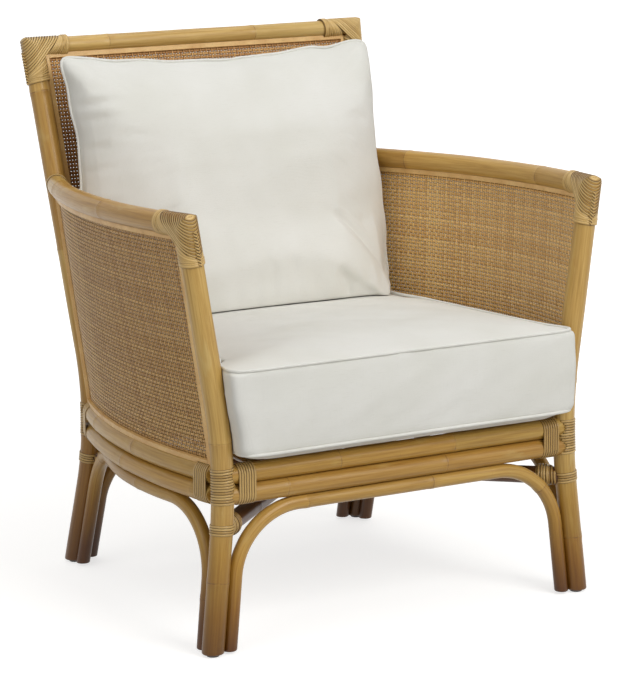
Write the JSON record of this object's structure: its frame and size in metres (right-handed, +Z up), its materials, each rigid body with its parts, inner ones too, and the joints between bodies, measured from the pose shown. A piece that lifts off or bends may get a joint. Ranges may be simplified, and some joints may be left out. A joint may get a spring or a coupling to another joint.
{
  "type": "rattan accent chair",
  "caption": "Low armchair with a lashed rattan pole frame, woven cane back and side panels, arched base and loose seat and back cushions.",
  "frame": {"origin": "centre of the chair's plan outline, on the floor under its four foot glides", "axes": "+Z up, -Y towards the front of the chair, where the sitter's legs go, +X towards the right-hand arm as seen by someone who stands in front of it"},
  "size_m": [0.7756, 0.7076, 0.8666],
  "materials": {
    "rattan_pole": "bent rattan pole with its skin on, honey beige, satin lacquer",
    "rattan_peel": "flat rattan peel wound in close loops, satin lacquer",
    "woven_cane": "close woven cane sheet, tan",
    "cane_spline": "half-round cane spline, light",
    "seat_wood": "plain planed hardwood",
    "screw_steel": "zinc-plated steel screw",
    "glide_plastic": "dark grey moulded nail-on glide",
    "cushion_fabric": "off-white woven cotton cover",
    "seat_foam": "upholstery foam, inside the cover",
    "fibre_fill": "polyester fibre fill, inside the cover"
  },
  "bodies": {
    "frame": {"arm_collar_left": "rattan_peel", "arm_collar_right": "rattan_peel", "arm_corner_lashing_left": "rattan_peel", "arm_corner_lashing_right": "rattan_peel", "arm_rail_left": "rattan_pole", "arm_rail_right": "rattan_pole", "back_cane": "woven_cane", "back_corner_lashing_left": "rattan_peel", "back_corner_lashing_right": "rattan_peel", "back_splines_front": "cane_spline", "back_splines_rear": "cane_spline", "brace_crossing_lashing": "rattan_peel", "brace_end_lashings": "rattan_peel", "brace_post_lashings": "rattan_peel", "cross_brace_long": "rattan_pole", "cross_brace_short_front": "rattan_pole", "cross_brace_short_rear": "rattan_pole", "foot_glides": "glide_plastic", "frame_screws": "screw_steel", "front_arch": "rattan_pole", "front_post_lashings": "rattan_peel", "front_post_left": "rattan_pole", "front_post_right": "rattan_pole", "front_rail_lashings": "rattan_peel", "front_rail_lower": "rattan_pole", "front_rail_upper": "rattan_pole", "rear_arch": "rattan_pole", "rear_post_lashings": "rattan_peel", "rear_post_left": "rattan_pole", "rear_post_right": "rattan_pole", "rear_rail_lashings": "rattan_peel", "rear_rail_lower": "rattan_pole", "rear_rail_upper": "rattan_pole", "seat_cleat_front": "seat_wood", "seat_cleat_rear": "seat_wood", "seat_slats": "seat_wood", "side_arch_left": "rattan_pole", "side_arch_right": "rattan_pole", "side_cane_left": "woven_cane", "side_cane_right": "woven_cane", "side_rail_front_lashings": "rattan_peel", "side_rail_lower_left": "rattan_pole", "side_rail_lower_right": "rattan_pole", "side_rail_rear_lashings": "rattan_peel", "side_rail_upper_left": "rattan_pole", "side_rail_upper_right": "rattan_pole", "side_splines_inner_left": "cane_spline", "side_splines_inner_right": "cane_spline", "side_splines_outer_left": "cane_spline", "side_splines_outer_right": "cane_spline", "top_rail": "rattan_pole"},
    "seat_cushion": {"seat_cushion_cover": "cushion_fabric", "seat_cushion_core": "seat_foam", "seat_cushion_welts": "cushion_fabric"},
    "back_cushion": {"back_cushion_cover": "cushion_fabric", "back_cushion_fill": "fibre_fill", "back_cushion_welt": "cushion_fabric"}
  },
  "joints": [
    {"name": "seat_cushion_lift", "type": "slide", "parent": "frame", "child": "seat_cushion", "axis": [0, 0, 1], "range_m": [0, 0.4]},
    {"name": "back_cushion_lift", "type": "slide", "parent": "seat_cushion", "child": "back_cushion", "axis": [0, -0.9786, 0.2058], "range_m": [0, 0.35]}
  ]
}
